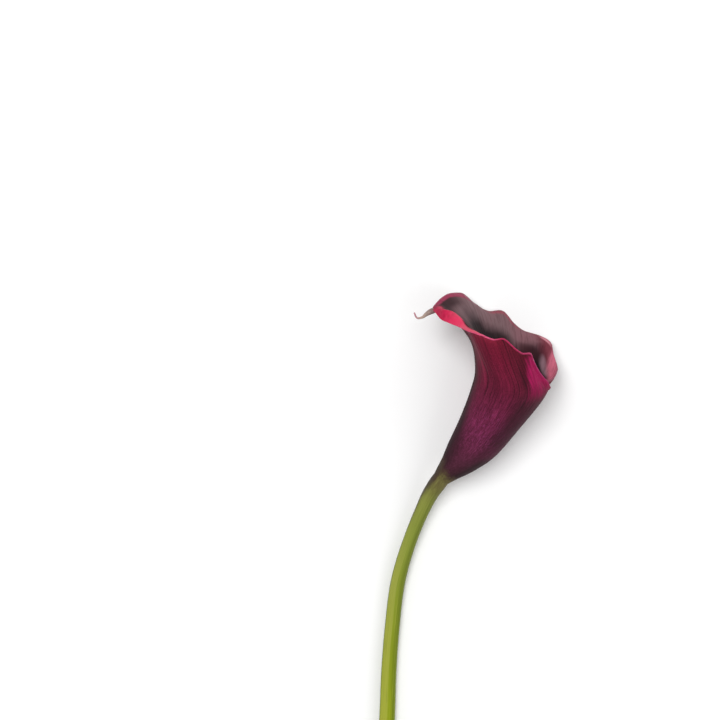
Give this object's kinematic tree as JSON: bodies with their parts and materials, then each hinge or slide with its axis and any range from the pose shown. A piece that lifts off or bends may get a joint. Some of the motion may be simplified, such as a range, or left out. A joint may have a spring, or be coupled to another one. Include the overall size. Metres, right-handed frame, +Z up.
{
  "type": "calla lily flower",
  "caption": "Cut calla lily laid on its side: a dark funnel-shaped spathe with a curled tip, a spadix inside it and a smooth curved stem.",
  "frame": {"origin": "centre of the flower's outline seen from above, on the surface that it lies on", "axes": "+Y from the cut end of the stem towards the bloom, +X towards the open front of the spathe, +Z up from the surface"},
  "size_m": [0.092, 0.2986, 0.0532],
  "materials": {
    "stem": "satin",
    "spathe": "satin",
    "spadix": "matte, granular"
  },
  "bodies": {
    "root": {"stem": "stem", "spathe": "spathe", "spadix": "spadix"}
  },
  "joints": []
}
